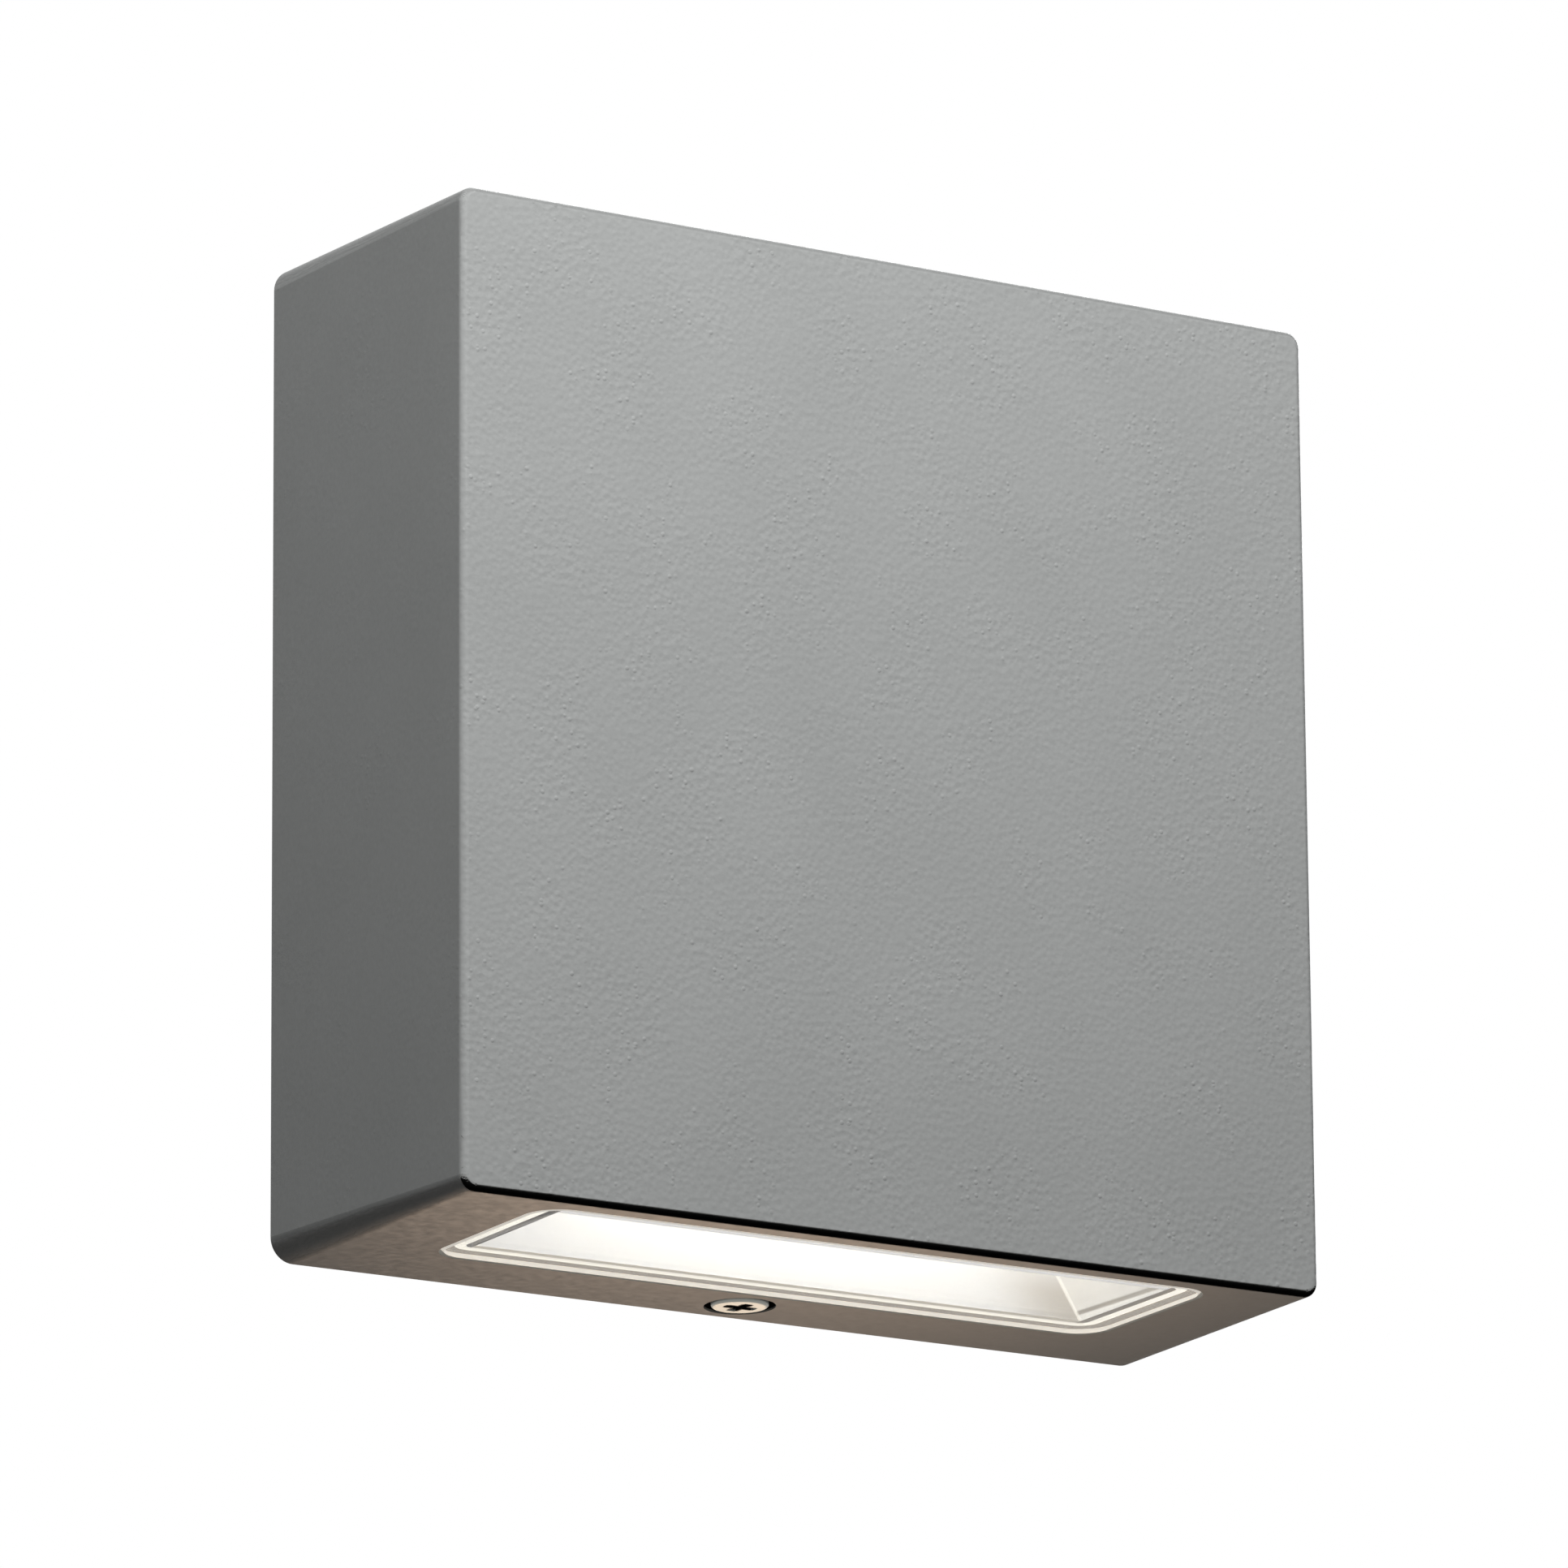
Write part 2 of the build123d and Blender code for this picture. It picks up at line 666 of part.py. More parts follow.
def make_wall_bracket():
    """Folded plate: a flange at the top carries the casting, a tongue at the bottom is clamped."""
    half = bracket_sheet / 2
    tongue_mid = tongue_z + half
    flange_top = case_height / 2 - wall - flange_depth * slope - running_gap
    flange_mid = flange_top - half
    path = FilletPolyline(
        (-tongue_depth, tongue_mid), (-half, tongue_mid), (-half, flange_mid), (-flange_depth, flange_mid),
        radius=bend_radius + half,
    )
    bracket = extrude(Plane.YZ * trace(path, bracket_sheet), bracket_width / 2, both=True)
    fold = bracket_sheet + bend_radius + bend_relief
    for span, edge_z in ((flange_span, flange_top), (tongue_span, tongue_z)):
        trim = (bracket_width - span) / 2
        notch = Box(2 * trim, 4 * case_depth, 2 * fold)
        for end in (-1, 1):
            bracket -= Pos(end * bracket_width / 2, 0, edge_z) * notch
    plate_corners = bracket.edges().filter_by(Axis.Y).group_by(lambda edge: abs(edge.center().X))[-1]
    bracket = fillet(plate_corners, plate_corner_radius)
    tab_corners = bracket.edges().filter_by(Axis.Z).filter_by_position(Axis.Y, -case_depth, -fold)
    bracket = fillet(tab_corners, tab_corner_radius)
    slot = extrude(SlotOverall(slot_length, slot_width), 4 * bracket_sheet, both=True)
    for x in (-slot_spacing / 2, slot_spacing / 2):
        bracket -= Pos(x, 0, 0) * Rot(90, 0, 0) * slot
    bracket -= Pos(0, 0, cable_hole_height) * Rot(90, 0, 0) * Cylinder(
        grommet_neck_radius + fixing_gap, 4 * bracket_sheet)
    bracket -= Pos(bracket_earth_x, 0, bracket_earth_z) * Rot(90, 0, 0) * Cylinder(
        m4_radius + fixing_gap, 4 * bracket_sheet)
    return bracket


def make_cable_grommet():
    """Top-hat grommet with a tapered nose towards the inside of the light."""
    flange_end = bracket_sheet + grommet_flange_thickness
    nose_end = flange_end + grommet_nose_length
    outline = Polyline(
        (cable_bore_radius, 0), (grommet_neck_radius, 0), (grommet_neck_radius, bracket_sheet),
        (grommet_flange_radius, bracket_sheet), (grommet_flange_radius, flange_end),
        (grommet_neck_radius, flange_end), (grommet_nose_radius, nose_end),
        (cable_bore_radius, nose_end), close=True,
    )
    grommet = revolve(Plane.XZ * make_face(outline), Axis.Z)
    return Pos(0, 0, cable_hole_height) * Rot(90, 0, 0) * grommet


def make_bracket_earth_screw():
    place = Pos(bracket_earth_x, -bracket_sheet, bracket_earth_z) * Rot(90, 0, 0)
    return place * m4_screw(bracket_sheet)


def make_retaining_screw():
    """Clamping screw under the tongue of the bracket, head downwards."""
    return Pos(0, screw_y, seat_z) * Rot(180, 0, 0) * m4_screw(retaining_length)


def make_screw_washer():
    ring = extrude(Circle(washer_radius) - Circle(m4_radius + running_gap), washer_thickness)
    return Pos(0, screw_y, seat_z) * ring


pieces = {
    "housing": make_housing(),
    "rear_gasket": make_rear_gasket(),
    "glass_lens": make_glass_lens(),
    "lens_gasket": make_lens_gasket(),
    "reflector": make_reflector(),
    "led_board": make_led_board(),
    "led_chips": make_led_chips(),
    "thermal_pad": make_thermal_pad(),
    "board_screws": make_board_screws(),
    "driver_case": make_driver_case(),
    "driver_screws": ear_screws(driver_x, driver_z, driver_length),
    "terminal_block": make_terminal_block(),
    "terminal_screws": make_terminal_screws(),
    "block_screws": ear_screws(0, terminal_z, terminal_length),
    "cord_clamp": make_cord_clamp(),
    "clamp_screws": make_clamp_screws(),
    "earth_lug": make_earth_lug(),
    "earth_screw": make_earth_screw(),
    "live_wire": make_live_wire(),
    "neutral_wire": make_neutral_wire(),
    "earth_wire": make_earth_wire(),
    "led_wire_positive": make_led_wire_positive(),
    "led_wire_negative": make_led_wire_negative(),
    "lead_bush": make_lead_bush(),
    "wall_bracket": make_wall_bracket(),
    "cable_grommet": make_cable_grommet(),
    "bracket_earth_screw": make_bracket_earth_screw(),
    "retaining_screw": make_retaining_screw(),
    "screw_washer": make_screw_washer(),
}

os.makedirs("parts", exist_ok=True)
for name, shape in pieces.items():
    export_step(shape, f"parts/{name}.step")
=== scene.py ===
import math

import bpy
from mathutils import Matrix, Vector


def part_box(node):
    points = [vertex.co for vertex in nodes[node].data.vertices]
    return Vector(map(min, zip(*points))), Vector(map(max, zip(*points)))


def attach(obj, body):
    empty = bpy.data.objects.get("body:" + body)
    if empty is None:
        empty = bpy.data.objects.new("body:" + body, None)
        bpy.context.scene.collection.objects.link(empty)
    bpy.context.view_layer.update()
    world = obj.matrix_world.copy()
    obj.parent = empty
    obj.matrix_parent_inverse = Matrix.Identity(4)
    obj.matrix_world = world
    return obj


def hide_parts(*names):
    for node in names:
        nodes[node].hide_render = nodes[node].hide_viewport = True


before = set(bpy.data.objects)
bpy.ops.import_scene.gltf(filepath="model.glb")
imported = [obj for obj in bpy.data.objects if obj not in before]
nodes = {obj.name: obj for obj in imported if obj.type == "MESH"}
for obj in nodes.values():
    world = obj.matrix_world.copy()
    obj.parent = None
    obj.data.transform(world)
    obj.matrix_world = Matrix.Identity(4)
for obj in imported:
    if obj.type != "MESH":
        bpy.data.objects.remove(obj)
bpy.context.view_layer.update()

# Camera: the photograph's view, from below and to the left; metres, degrees and the photograph's pixels
camera_place = Vector((-0.82158, -1.34190, -0.40921))
camera_yaw = 31.8469
camera_pitch = 14.7714
camera_roll = -0.4449
photo_side = 1932
focal_pixels = 14394.06
sensor_width = 36.0

# Stage: metres, and levels of light at which 1 shows as white
floor_height = -1.75
floor_half = 12.0
floor_paint = (0.2, 0.2, 0.2)
floor_roughness = 0.9
floor_glow = (1.0, 0.97, 0.93)
floor_level = 0.5
background_level = 1.0
ambient_level = 0.035

# Colours that several things share, and the whole range of a share
white = (1.0, 1.0, 1.0)
black = (0.0, 0.0, 0.0)
whole = (0.0, 1.0)

# Case, metres: the draft of its side and end walls, for each step towards the wall; its corner radii at
# the wall and at the front in the solid, and the tighter ones that the photograph shows; the length of flat
# wall that is stretched to meet them; how deep the outer skin is, and how deep at the rounding of the front
side_draft = math.tan(math.radians(2.4))
end_draft = math.tan(math.radians(1.0))
solid_corners = (0.0045, 0.0030)
shown_corners = (0.0034, 0.0021)
corner_run = 0.010
skin_depth = 0.00002
front_depth = 0.0012

# Powder coat, metres: how far the painted shade on the window's ledge runs on outside the lens gasket; how
# far the painted shade in the screw hole lies outside the washer, and runs below and above it
ledge_reach = 0.0025
bore_reach = 0.0006
bore_depth = 0.0016

# Powder coat: the limits, of the parts of the surface's direction, between which each effect sets in
front_facing = (0.4, 0.9)
upper_rounding = (0.05, 0.40)
level_top = (0.75, 0.95)
lower_rounding = (-0.50, -0.12)
side_edge = (0.20, 0.50)
turned_down = (-0.22, -0.10)
turned_ahead = (-0.25, -0.15)

# Powder coat: colours, and how much of the colours of specks, of the painted shade on the upper roundings
# and of the painted light along the lower side roundings shows; painted shade on the window's ledge, under
# the front edge and in the screw hole, and a faint painted warm glow on the ledge
coat_dark = (0.375, 0.385, 0.380)
coat_light = (0.425, 0.435, 0.430)
coat_speck = (0.2, 0.2, 0.2)
coat_rounding_shade = (0.06, 0.06, 0.06)
coat_rounding_light = (0.80, 0.79, 0.77)
ledge_shade = (0.07, 0.055, 0.040)
black_shade = (0.01, 0.01, 0.01)
ledge_glow = (1.0, 0.62, 0.30)
ledge_glow_level = 0.06
speck_share = 0.10
rounding_shade_share = 0.5
rounding_light_share = 0.6
coat_specular = 0.06

# Powder coat's texture: the limits of its specks, pimples and patches, the shares of each in the relief,
# the relief's strength and height in metres, and the least and most roughness
speck_limits = (0.30, 0.70)
fine_share = 0.45
grain_middle = 0.6
calm_share = 0.75
patch_share = 0.45
pimple_height = 1.1
pimple_limits = (0.10, 0.34)
patch_limits = (0.42, 0.62)
chance_limits = (0.4, 0.8)
side_relief = 0.15
relief_strength = 0.27
relief_height = 0.00022
coat_roughness = (0.42, 0.62)

# Reflector, metres: width of the flange that shows inside the lens gasket, and its soft edge; painted
# highlight along the mitre seams; painted shade beside the right mitre, and the heights over which it fades;
# painted highlight on the fold and painted shade in a groove at the foot of the end walls; strip between the
# left and right halves. The walls' leans are inward steps for each step up
flange_reach = 0.00135
flange_edge = (0.0, 0.0001)
seam_highlight_limits = (0.00026, 0.000416)
shade_reach = (0.0, 0.016)
shade_heights = (0.0035, 0.0075)
fold_highlight_heights = (0.0006, 0.0008)
groove_shade_heights = (0.0011, 0.0013)
right_half = (-0.005, 0.005)
end_lean = math.tan(math.radians(38.0))
side_lean = math.tan(math.radians(12.0))

# Reflector: limits of the surface's direction for its long walls, end walls and outer faces
long_facing = (0.7, 0.9)
end_facing = (0.5, 0.7)
back_facing = (-0.05, 0.05)

# Reflector: colours of its paint, of its painted shade and of its flange, painted dark as shade at the ends;
# colours of its painted glow and highlights, and how much of the painted shade shows
paint_dark = (0.86, 0.85, 0.83)
paint_light = (0.90, 0.89, 0.87)
paint_shade = (0.56, 0.50, 0.42)
paint_groove_shade = (0.40, 0.36, 0.30)
flange_left_shade = (0.02, 0.017, 0.014)
flange_right_shade = (0.40, 0.35, 0.29)
flange_rear = (0.78, 0.73, 0.65)
glow_long = (1.0, 1.02, 1.10)
glow_end = (1.08, 1.02, 0.91)
glow_shade = (0.20, 0.16, 0.10)
glow_groove_shade = (0.15, 0.12, 0.08)
glow_fold_highlight = (1.6, 1.55, 1.42)
glow_seam_highlight = (1.9, 1.85, 1.7)
glow_flange = (0.70, 0.65, 0.57)
glow_level = 0.34
shade_share = 0.6
faded_shade = 0.1
paint_specular = 0.4
flange_specular = 0.05

# Retaining screw, metres: depth over which the painted shade in the cross recess sets in, outer limits of
# that shade, and half the width and the reach of the arms of a wider cross of painted shade around the
# recess
recess_depth = (0.0001, 0.0005)
recess_radius = (0.0026, 0.0029)
arm_half = (0.0009, 0.0010)
arm_reach = (0.0022, 0.0025)

# Moulded plastics and rubbers: dark and light colour, roughness, and scale of the grain
mouldings = {
    "thermal_silicone": ((0.42, 0.48, 0.56), (0.55, 0.60, 0.67), 0.70, 800.0),
    "black_plastic": ((0.012, 0.012, 0.013), (0.032, 0.032, 0.034), 0.50, 1100.0),
    "white_plastic": ((0.70, 0.68, 0.62), (0.82, 0.80, 0.74), 0.45, 900.0),
    "brown_wire": ((0.10, 0.038, 0.016), (0.17, 0.07, 0.03), 0.42, 700.0),
    "blue_wire": ((0.015, 0.07, 0.30), (0.03, 0.12, 0.42), 0.42, 700.0),
    "red_wire": ((0.38, 0.012, 0.012), (0.52, 0.03, 0.025), 0.42, 700.0),
    "black_wire": ((0.012, 0.012, 0.012), (0.03, 0.03, 0.03), 0.42, 700.0),
    "grommet_rubber": ((0.012, 0.012, 0.012), (0.035, 0.034, 0.033), 0.70, 900.0),
    "nylon_washer": ((0.02, 0.02, 0.02), (0.05, 0.05, 0.05), 0.50, 1200.0),
}

# Plated metals: dark and light colour, and roughness
platings = {
    "zinc_screw": ((0.52, 0.52, 0.50), (0.68, 0.68, 0.65), 0.34),
    "brass_fitting": ((0.58, 0.40, 0.14), (0.76, 0.57, 0.25), 0.32),
    "tinned_brass": ((0.58, 0.57, 0.54), (0.72, 0.71, 0.68), 0.30),
}

# Finish of each CAD node
node_finishes = {
    "housing": "powder_coat",
    "rear_gasket": "foam_rubber",
    "glass_lens": "window_glass",
    "lens_gasket": "silicone",
    "reflector": "white_reflector",
    "led_board": "white_board",
    "led_chips": "led_phosphor",
    "thermal_pad": "thermal_silicone",
    "board_screws": "zinc_screw",
    "driver_case": "black_plastic",
    "driver_screws": "zinc_screw",
    "terminal_block": "white_plastic",
    "terminal_screws": "brass_fitting",
    "block_screws": "zinc_screw",
    "cord_clamp": "black_plastic",
    "clamp_screws": "zinc_screw",
    "earth_lug": "tinned_brass",
    "earth_screw": "brass_fitting",
    "live_wire": "brown_wire",
    "neutral_wire": "blue_wire",
    "earth_wire": "earth_insulation",
    "led_wire_positive": "red_wire",
    "led_wire_negative": "black_wire",
    "lead_bush": "foam_rubber",
    "wall_bracket": "zinc_sheet",
    "cable_grommet": "grommet_rubber",
    "bracket_earth_screw": "brass_fitting",
    "retaining_screw": "nickel_screw",
    "screw_washer": "nylon_washer",
}


class Finish:
    """A node material, with short calls for the textures and masks that the finishes share.

    A share is a number from 0 to 1, limits are two values between which a share changes, and a texture's
    scale is about how many of its cells or waves there are to a metre.
    """

    # Sockets of a Mix node that carry colours
    mix_inputs = (6, 7)
    mix_output = 2

    def __init__(self, name, roughness=0.5, metallic=0.0, specular=0.5):
        self.material = bpy.data.materials.new(name)
        self.material.use_nodes = True
        self.tree = self.material.node_tree
        self.shader = self.tree.nodes["Principled BSDF"]
        self.set("Roughness", roughness)
        self.set("Metallic", metallic)
        self.set("Specular IOR Level", specular)
        self.place = self.add("ShaderNodeTexCoord").outputs["Object"]

    def add(self, kind, **settings):
        node = self.tree.nodes.new(kind)
        for name, value in settings.items():
            setattr(node, name, value)
        return node

    def link(self, source, socket):
        self.tree.links.new(source, socket)

    def feed(self, socket, value):
        """Links an output to a socket, or sets the socket to a plain value; a colour gets its alpha."""
        if isinstance(value, bpy.types.NodeSocket):
            self.link(value, socket)
        elif isinstance(value, tuple):
            socket.default_value = (*value, 1.0)
        else:
            socket.default_value = value

    def set(self, name, value):
        """Gives one of the shader's sockets an output or a plain value."""
        self.feed(self.shader.inputs[name], value)

    def stretched(self, scale):
        """Object coordinates scaled by a factor along each axis."""
        mapping = self.add("ShaderNodeMapping")
        mapping.inputs["Scale"].default_value = scale
        self.link(self.place, mapping.inputs["Vector"])
        return mapping.outputs["Vector"]

    def noise(self, scale, detail=2.0, rough=0.5):
        node = self.add("ShaderNodeTexNoise")
        node.inputs["Scale"].default_value = scale
        node.inputs["Detail"].default_value = detail
        node.inputs["Roughness"].default_value = rough
        self.link(self.place, node.inputs["Vector"])
        return node.outputs["Fac"]

    def cells(self, scale, smooth):
        """Distance from the middle of the nearest cell, with soft borders."""
        node = self.add("ShaderNodeTexVoronoi", feature="SMOOTH_F1")
        node.inputs["Scale"].default_value = scale
        node.inputs["Smoothness"].default_value = smooth
        self.link(self.place, node.inputs["Vector"])
        return node.outputs["Distance"]

    def pebbles(self, scale, place=None):
        """Distance from the middle of the nearest cell, and a random share for each cell."""
        node = self.add("ShaderNodeTexVoronoi", feature="F1")
        node.inputs["Scale"].default_value = scale
        self.link(place or self.place, node.inputs["Vector"])
        split = self.add("ShaderNodeSeparateColor")
        self.link(node.outputs["Color"], split.inputs["Color"])
        return node.outputs["Distance"], split.outputs["Red"]

    def part(self, axis):
        """One coordinate of the place on the object, in metres."""
        split = self.add("ShaderNodeSeparateXYZ")
        self.link(self.place, split.inputs["Vector"])
        return split.outputs[axis]

    def facing(self, axis):
        """One part of the direction that the surface faces."""
        split = self.add("ShaderNodeSeparateXYZ")
        self.link(self.add("ShaderNodeNewGeometry").outputs["True Normal"], split.inputs["Vector"])
        return split.outputs[axis]

    def math(self, operation, first, second=0.0):
        node = self.add("ShaderNodeMath", operation=operation)
        self.feed(node.inputs[0], first)
        self.feed(node.inputs[1], second)
        return node.outputs["Value"]

    def product(self, first, *others):
        for other in others:
            first = self.math("MULTIPLY", first, other)
        return first

    def plus(self, first, second):
        return self.math("ADD", first, second)

    def minus(self, first, second):
        return self.math("SUBTRACT", first, second)

    def larger(self, first, second):
        return self.math("MAXIMUM", first, second)

    def size(self, value):
        return self.math("ABSOLUTE", value)

    def span(self, value, limits, low=0.0, high=1.0, smooth=False):
        """Goes from low to high as a value passes two limits, and stays level outside them."""
        node = self.add("ShaderNodeMapRange", clamp=True)
        node.interpolation_type = "SMOOTHSTEP" if smooth else "LINEAR"
        for name, limit in zip(("From Min", "From Max", "To Min", "To Max"), (*limits, low, high)):
            node.inputs[name].default_value = limit
        self.link(value, node.inputs["Value"])
        return node.outputs["Result"]

    def falling(self, value, limits, smooth=False):
        """Share that falls from 1 to 0 as a value passes two limits."""
        return self.span(value, limits, 1.0, 0.0, smooth)

    def inside(self, low, high, soft=0.0001):
        """Share that is 1 inside a box and 0 outside it."""
        shares = []
        for axis, start, end in zip("XYZ", low, high):
            off_middle = self.size(self.minus(self.part(axis), (start + end) / 2))
            half = (end - start) / 2
            shares.append(self.falling(off_middle, (half, half + soft)))
        return self.product(*shares)

    def between(self, share, first, second):
        """Colour between two colours, or colour outputs, by a share."""
        node = self.add("ShaderNodeMix", data_type="RGBA")
        self.feed(node.inputs["Factor"], share)
        for number, colour in zip(self.mix_inputs, (first, second)):
            self.feed(node.inputs[number], colour)
        return node.outputs[self.mix_output]

    def roughen(self, share, low, high):
        self.set("Roughness", self.span(share, whole, low, high))

    def bump(self, height, strength, distance):
        node = self.add("ShaderNodeBump")
        node.inputs["Strength"].default_value = strength
        node.inputs["Distance"].default_value = distance
        self.link(height, node.inputs["Height"])
        self.set("Normal", node.outputs["Normal"])


def coat_colour(finish, fine, upward):
    """Cloudy grey with fine specks; painted shade on the upper roundings, painted light on the lower side
    edges.
    """
    coat = finish.between(finish.noise(scale=45.0, detail=3.0), coat_dark, coat_light)
    specked = finish.between(speck_share, coat, coat_speck)
    coat = finish.between(finish.span(fine, speck_limits), specked, coat)
    # Painted shade on the upper roundings
    rounding = finish.product(finish.span(upward, upper_rounding), finish.falling(upward, level_top))
    coat = finish.between(finish.product(rounding, rounding_shade_share), coat, coat_rounding_shade)
    # Painted light on the lower side roundings, which narrows their shade
    sideward = finish.span(finish.size(finish.facing("X")), side_edge, smooth=True)
    lower_edge = finish.product(sideward, finish.falling(upward, lower_rounding, smooth=True))
    return finish.between(finish.product(lower_edge, rounding_light_share), coat, coat_rounding_light)


def coat_relief(finish, fine):
    """Orange peel with patches of pimples on the front and the rear, nearly smooth on the other sides."""
    grain = finish.plus(finish.cells(scale=1100.0, smooth=0.6), finish.product(fine, fine_share))
    patch = finish.span(finish.noise(scale=100.0), patch_limits, smooth=True)
    depth = finish.plus(finish.product(patch, patch_share), calm_share)
    patchy = finish.product(finish.minus(grain, grain_middle), depth)
    off_middle, chance = finish.pebbles(scale=900.0)
    pimple = finish.span(off_middle, pimple_limits, pimple_height, 0.0, smooth=True)
    fleck = finish.product(pimple, patch, finish.span(chance, chance_limits))
    front = finish.span(finish.size(finish.facing("Y")), front_facing, side_relief, 1.0)
    return finish.product(finish.plus(patchy, fleck), front)


def powder_coat():
    """Light grey coat; painted black shade under the front edge and in the screw hole, and painted shade
    with a faint painted warm glow on the window's ledge.
    """
    finish = Finish("powder_coat")
    fine = finish.noise(scale=1500.0)
    upward = finish.facing("Z")
    # Painted shade on the window's ledge
    aside = Vector((ledge_reach, ledge_reach, 0.0))
    low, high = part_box("lens_gasket")
    ledge = finish.inside(low - aside, high + aside)
    # Painted black shade in the screw hole
    around = Vector((bore_reach, bore_reach, bore_depth))
    low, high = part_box("screw_washer")
    bore = finish.inside(low - around, high + around)
    # Painted black shade on the lower half of the front edge's rounding
    ahead = finish.falling(finish.facing("Y"), turned_ahead)
    front_edge = finish.product(finish.falling(upward, turned_down), ahead)
    shaded_black = finish.larger(front_edge, bore)
    painted_shade = finish.larger(ledge, shaded_black)
    shade_colour = finish.between(shaded_black, ledge_shade, black_shade)
    finish.set("Base Color", finish.between(painted_shade, coat_colour(finish, fine, upward), shade_colour))
    # Faint painted warm glow on the window's ledge
    finish.set("Emission Color", ledge_glow)
    finish.set("Emission Strength", finish.product(ledge, ledge_glow_level))
    finish.set("Specular IOR Level", finish.span(painted_shade, whole, coat_specular, 0.0))
    finish.roughen(finish.noise(scale=700.0), *coat_roughness)
    finish.bump(coat_relief(finish, fine), relief_strength, relief_height)
    return finish.material


def foam_rubber():
    """Matt black foam rubber with fine pores."""
    dark = (0.012, 0.012, 0.012)
    light = (0.045, 0.044, 0.043)
    finish = Finish("foam_rubber", roughness=0.85, specular=0.25)
    pores = finish.cells(scale=1900.0, smooth=0.3)
    finish.set("Base Color", finish.between(pores, dark, light))
    finish.bump(pores, strength=0.6, distance=0.0002)
    return finish.material


def window_glass():
    """Clear glass with ground edges, which get a painted glow for the light of the LEDs that they carry."""
    clear = (0.99, 1.0, 0.995)
    ground_dark = (0.80, 0.75, 0.67)
    ground_light = (0.88, 0.84, 0.77)
    ground_roughness = 0.6
    edge_glow_level = 0.60
    flat_facing = (0.90, 0.97)
    glass_ior = 1.5
    finish = Finish("window_glass")
    edge = finish.falling(finish.size(finish.facing("Z")), flat_facing)
    ground = finish.between(finish.noise(scale=900.0), ground_dark, ground_light)
    finish.set("IOR", glass_ior)
    finish.set("Transmission Weight", finish.minus(1.0, edge))
    finish.set("Roughness", finish.product(edge, ground_roughness))
    finish.set("Base Color", finish.between(edge, clear, ground))
    # Painted glow on the ground edges, in the colour of the ground glass
    finish.set("Emission Color", ground)
    finish.set("Emission Strength", finish.product(edge, edge_glow_level))
    return finish.material


def silicone():
    """White silicone with a painted glow for the light that it carries."""
    dark = (0.80, 0.78, 0.73)
    light = (0.90, 0.88, 0.83)
    # Strength of the painted glow of the gasket
    level = 0.60
    finish = Finish("silicone", roughness=0.6, specular=0.4)
    dust = finish.noise(scale=500.0, detail=3.0)
    milky_and_glow = finish.between(dust, dark, light)
    finish.set("Base Color", milky_and_glow)
    finish.set("Emission Color", milky_and_glow)
    finish.set("Emission Strength", level)
    finish.bump(dust, strength=0.2, distance=0.0001)
    return finish.material


def white_reflector():
    """Satin white paint inside, lit by the LEDs and by a painted glow, with painted shade and highlights at
    the seams, folds and right mitre; the flange is painted dark as shade at the ends, darkest on the left,
    and light with a painted glow at the rear.
    """
    finish = Finish("white_reflector", roughness=0.4)
    low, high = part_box("reflector")
    grain = finish.noise(scale=900.0)
    rise = finish.minus(finish.part("Z"), low.z)
    rightward = finish.span(finish.part("X"), right_half)
    past_end = finish.minus(finish.size(finish.part("X")), high.x - flange_reach)
    past_rear = finish.minus(finish.part("Y"), high.y - flange_reach)
    end_flange = finish.span(past_end, flange_edge)
    flange = finish.larger(end_flange, finish.span(past_rear, flange_edge))

    end_gap = finish.size(finish.plus(past_end, finish.product(rise, end_lean)))
    rear_gap = finish.size(finish.plus(past_rear, finish.product(rise, side_lean)))
    # Painted highlight along the mitre seams
    seam_highlight = finish.falling(finish.larger(end_gap, rear_gap), seam_highlight_limits)
    corner = finish.falling(end_gap, shade_reach, smooth=True)
    long_wall = finish.span(finish.size(finish.facing("Y")), long_facing)
    fading = finish.span(rise, shade_heights, 1.0, faded_shade)
    shade = finish.product(rightward, corner, long_wall, fading)
    end_wall = finish.span(finish.size(finish.facing("X")), end_facing)
    # Painted highlight on the fold and painted shade in a groove at the foot of the end walls
    fold_highlight = finish.product(end_wall, finish.falling(rise, fold_highlight_heights))
    groove_shade = finish.minus(finish.product(end_wall, finish.falling(rise, groove_shade_heights)), fold_highlight)

    paint = finish.between(grain, paint_dark, paint_light)
    paint = finish.between(finish.product(shade, shade_share), paint, paint_shade)
    paint = finish.between(groove_shade, paint, paint_groove_shade)
    # Flange painted dark as shade at the ends, darkest on the left, and light at the rear
    ends = finish.between(rightward, flange_left_shade, flange_right_shade)
    metal = finish.between(end_flange, flange_rear, ends)
    finish.set("Base Color", finish.between(flange, paint, metal))
    finish.set("Specular IOR Level", finish.span(flange, whole, paint_specular, flange_specular))

    # Painted glow on the inner walls and rear flange, with painted shade and highlights; none on the outer
    # faces
    glow = finish.between(end_wall, glow_long, glow_end)
    for share, colour in ((shade, glow_shade), (groove_shade, glow_groove_shade), (fold_highlight, glow_fold_highlight), (seam_highlight, glow_seam_highlight)):
        glow = finish.between(share, glow, colour)
    glow = finish.between(flange, glow, finish.between(end_flange, glow_flange, black))
    outer = finish.span(finish.facing("Z"), back_facing)
    finish.set("Emission Color", finish.between(outer, glow, black))
    finish.set("Emission Strength", glow_level)
    finish.bump(grain, strength=0.1, distance=0.0001)
    return finish.material


